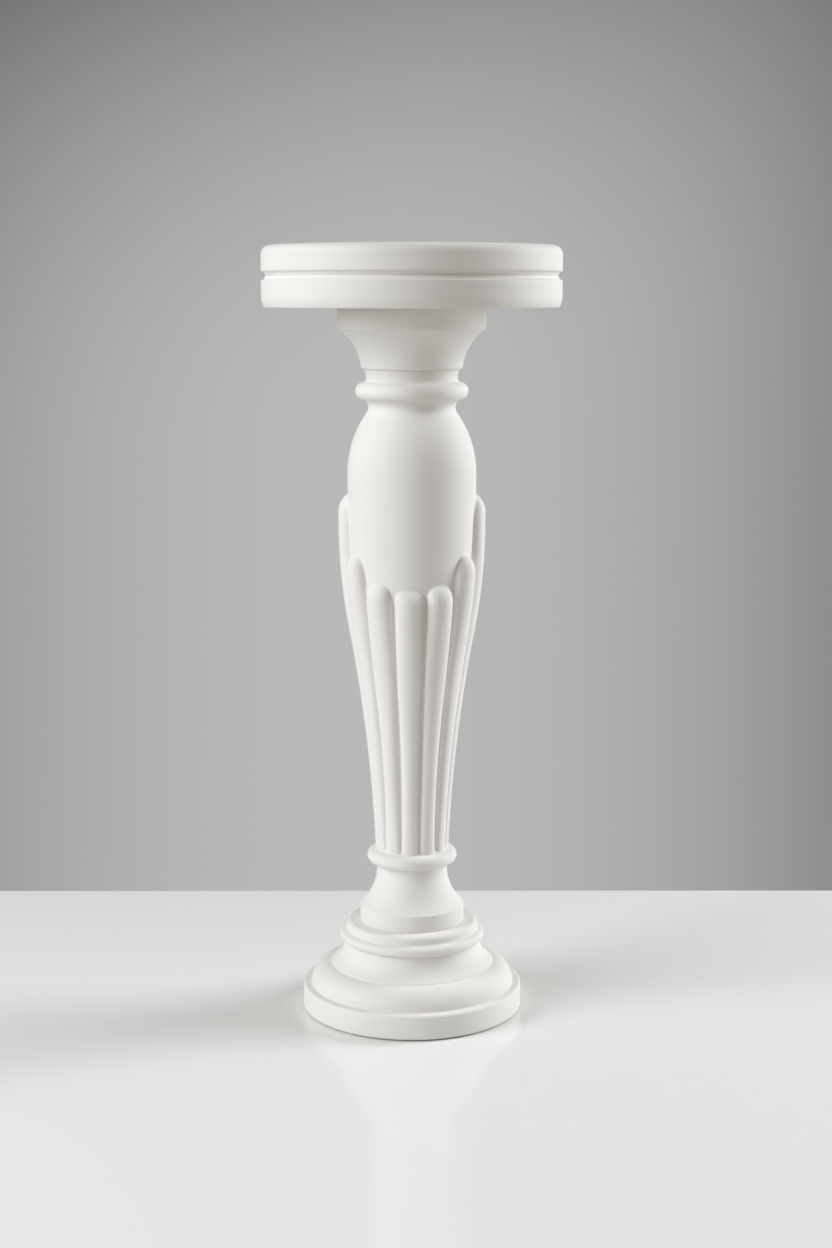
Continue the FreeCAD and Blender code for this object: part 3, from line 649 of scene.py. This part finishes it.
# ---------------------------------------------------------------------------
# Lower board
# A disc of glued-up beech with the lower half of the groove round its top edge. Six
# wells in its underside hold the heads of the screws that pull the upper board down.
low, high = heights_of("lower_board")
board_reach, groove, ease = 152.5, 4.2, 1
cove_side = math.sqrt(groove ** 2 - ease ** 2)
under_edge, under_side = 3.4, 10
nut_well, nut_well_depth = 17, 17
nut_floor = high - nut_well_depth
lower_board = lathe("lower_board_turning", profile([
    (nut_well, high),
    (board_reach - groove, high, f"hollow {groove}"),
    (board_reach - ease, high - cove_side, "upright_end"),
    (board_reach, high - groove - ease),
    (board_reach, low + under_side + ease, "upright_start"),
    (board_reach - under_edge + ease, low + ease, "level_end"),
    (board_reach - under_edge, low),
    (rod_bore, low),
    (rod_bore, nut_floor),
    (nut_well, nut_floor),
]), even_turns(board_columns))
well_circle, well_count, well_reach, well_depth, well_sides = 112, 6, 4.6, 12, 48
sharpest_curve = math.radians(40)     # a corner sharper than this isn't shaded as round
cutters = bmesh.new()
for index in range(well_count):
    angle = 2 * math.pi * index / well_count
    spot = Matrix.Translation((well_circle * MM * math.cos(angle),
                               well_circle * MM * math.sin(angle), low * MM))
    bmesh.ops.create_cone(cutters, cap_ends=True, segments=well_sides, radius1=well_reach * MM,
                          radius2=well_reach * MM, depth=2 * well_depth * MM, matrix=spot)
cutter_mesh = bpy.data.meshes.new("well_cutters")
cutters.to_mesh(cutter_mesh)
cutters.free()
well_cutters = bpy.data.objects.new("well_cutters", cutter_mesh)
bpy.context.scene.collection.objects.link(well_cutters)
drilling = lower_board.modifiers.new("wells", "BOOLEAN")
drilling.object = well_cutters
drilled = bpy.data.meshes.new_from_object(
    lower_board.evaluated_get(bpy.context.evaluated_depsgraph_get()))
lower_board.modifiers.clear()
lower_board.data = drilled
drilled.set_sharp_from_angle(angle=sharpest_curve)
bpy.data.objects.remove(well_cutters)
stand_for(lower_board, "lower_board", lacquer)

# ---------------------------------------------------------------------------
# Tie rod, nuts and washers
# One length of threaded rod from the lower board down to the ballast disc. A nut and a
# washer at each end clamp the turned pieces of the column together.


# Bright zinc plate on steel: silver with a faint blue and yellow cast, softly mirror-like,
# and a little cloudy where hands and the plating bath have marked it.
def zinc_plate(name, thread=0):
    material = new_material(name)
    place = add(material, "TexCoord").outputs["Object"]
    cloud_size, scratch_size = 6 * MM, 0.4 * MM
    clouds = add(material, "TexNoise", Vector=place, Scale=1 / cloud_size, Detail=4).outputs["Fac"]
    marks = add(material, "TexNoise", Vector=place, Scale=1 / scratch_size, Detail=2).outputs["Fac"]
    colour = add(material, "Mix", {"data_type": "RGBA"}, Factor=clouds,
                 _6=linear("#BDC2C9"), _7=linear("#D6D4CB")).outputs[2]
    sheen = add(material, "MapRange", Value=clouds, To_Min=0.24, To_Max=0.42).outputs["Result"]
    normal = add(material, "Bump", Height=marks, Strength=0.15,
                 Distance=0.02 * MM).outputs["Normal"]
    if thread:
        across = add(material, "SeparateXYZ", _0=place)
        angle = add(material, "Math", {"operation": "ARCTAN2"}, _0=across.outputs["Y"],
                    _1=across.outputs["X"]).outputs[0]
        share = add(material, "Math", {"operation": "MULTIPLY"}, _0=angle,
                    _1=1 / (2 * math.pi)).outputs[0]
        helix = add(material, "Math", {"operation": "MULTIPLY_ADD"}, _0=across.outputs["Z"],
                    _1=1 / thread, _2=share).outputs[0]
        ridge = add(material, "Math", {"operation": "PINGPONG"}, _0=helix, _1=0.5).outputs[0]
        normal = add(material, "Bump", Height=ridge, Strength=1.0, Distance=thread,
                     Normal=normal).outputs["Normal"]
    plate = add(material, "BsdfPrincipled", Base_Color=colour, Metallic=1.0, Roughness=sheen,
                Normal=normal)
    add(material, "OutputMaterial", Surface=plate.outputs[0])
    return material


thread_pitch = 1.75 * MM      # M12 coarse thread
zinc = zinc_plate("zinc_plated_steel")
dress("tie_rod", zinc_plate("zinc_plated_thread", thread_pitch))
for node in ("upper_nut", "upper_washer", "lower_washer", "lower_nut"):
    dress(node, zinc)

# ---------------------------------------------------------------------------
# Upper board
# The top itself: a disc of glued-up beech with a rounded rim and a flat face. The upper
# half of the groove is turned round its lower edge.
low, high = heights_of("upper_board")
rim_width, rim_drop = 9.5, 10.5
upper_board = lathe("upper_board_turning", profile([
    (0, high),
    (board_reach - rim_width, high, "level_start"),
    (board_reach, high - rim_drop),
    (board_reach, low + groove + ease, "upright_start"),
    (board_reach - ease, low + cove_side, f"hollow {groove}"),
    (board_reach - groove, low),
    (0, low),
]), even_turns(board_columns))
stand_for(upper_board, "upper_board", lacquer)

# ---------------------------------------------------------------------------
# Board screws
# Six steel wood screws, zinc plated, driven up from wells in the lower board. They pull
# the upper board down over the well of the rod's nut.
dress("board_screws", zinc)

# ---------------------------------------------------------------------------
# Base cover and its screws
# A disc of bare brown fibreboard that closes the hollow in the plinth, held in its rebate
# by six short wood screws.


# Hardboard: pressed wood fibre, mid brown and faintly shiny, mottled with fine dark and
# pale fibres that lie every way.
def hardboard():
    material = new_material("bare_hardboard")
    place = add(material, "TexCoord").outputs["Object"]
    fibre_width, mottle_size = 0.8 * MM, 9 * MM
    fibres = add(material, "TexNoise", Vector=place, Scale=1 / fibre_width, Detail=3,
                 Distortion=2.5).outputs["Fac"]
    mottle = add(material, "TexNoise", Vector=place, Scale=1 / mottle_size, Detail=3).outputs["Fac"]
    both = add(material, "Math", {"operation": "MULTIPLY"}, _0=fibres, _1=mottle).outputs[0]
    spread = add(material, "MapRange", Value=both, From_Min=0.12, From_Max=0.4).outputs[0]
    colour = add(material, "Mix", {"data_type": "RGBA"}, Factor=spread,
                 _6=linear("#5A4028"), _7=linear("#8C6A47")).outputs[2]
    nap = add(material, "Bump", Height=fibres, Strength=0.3, Distance=0.06 * MM)
    board = add(material, "BsdfPrincipled", Base_Color=colour, Roughness=0.6,
                Normal=nap.outputs["Normal"])
    add(material, "OutputMaterial", Surface=board.outputs[0])
    return material


dress("base_cover", hardboard())
dress("cover_screws", zinc)

# ---------------------------------------------------------------------------
# Felt
# A disc of pressed wool felt, glued under the base and cut a little smaller, so that the stand
# doesn't mark the floor. The shade in the gap it leaves under the plinth shows as a thin dark line.


# Pressed wool felt: dark grey, dull, with a pale fuzz and matted fibres of no direction.
def wool_felt():
    material = new_material("pressed_wool_felt")
    place = add(material, "TexCoord").outputs["Object"]
    fibre_width, tuft_size = 0.35 * MM, 4 * MM
    fibres = add(material, "TexNoise", Vector=place, Scale=1 / fibre_width, Detail=2,
                 Distortion=3).outputs["Fac"]
    tufts = add(material, "TexNoise", Vector=place, Scale=1 / tuft_size, Detail=3).outputs["Fac"]
    mixed_wool = add(material, "Mix", {"data_type": "FLOAT"}, Factor=0.5, A=fibres,
                     B=tufts).outputs[0]
    colour = add(material, "Mix", {"data_type": "RGBA"}, Factor=mixed_wool,
                 _6=linear("#242427"), _7=linear("#5B5B60")).outputs[2]
    fuzz = add(material, "Bump", Height=fibres, Strength=0.8, Distance=0.2 * MM)
    wool = add(material, "BsdfPrincipled", Base_Color=colour, Roughness=0.95,
               Sheen_Weight=0.3, Sheen_Roughness=0.5, Normal=fuzz.outputs["Normal"])
    add(material, "OutputMaterial", Surface=wool.outputs[0])
    return material


low, high = heights_of("felt_disc")
felt_reach, felt_edge = 108, 0.5
felt = lathe("felt_pad", profile([
    (0, high),
    (felt_reach - felt_edge, high, "level_start"),
    (felt_reach, (low + high) / 2, "upright_start"),
    (felt_reach - felt_edge, low),
    (0, low),
], softness=0.1))
stand_for(felt, "felt_disc", wool_felt())
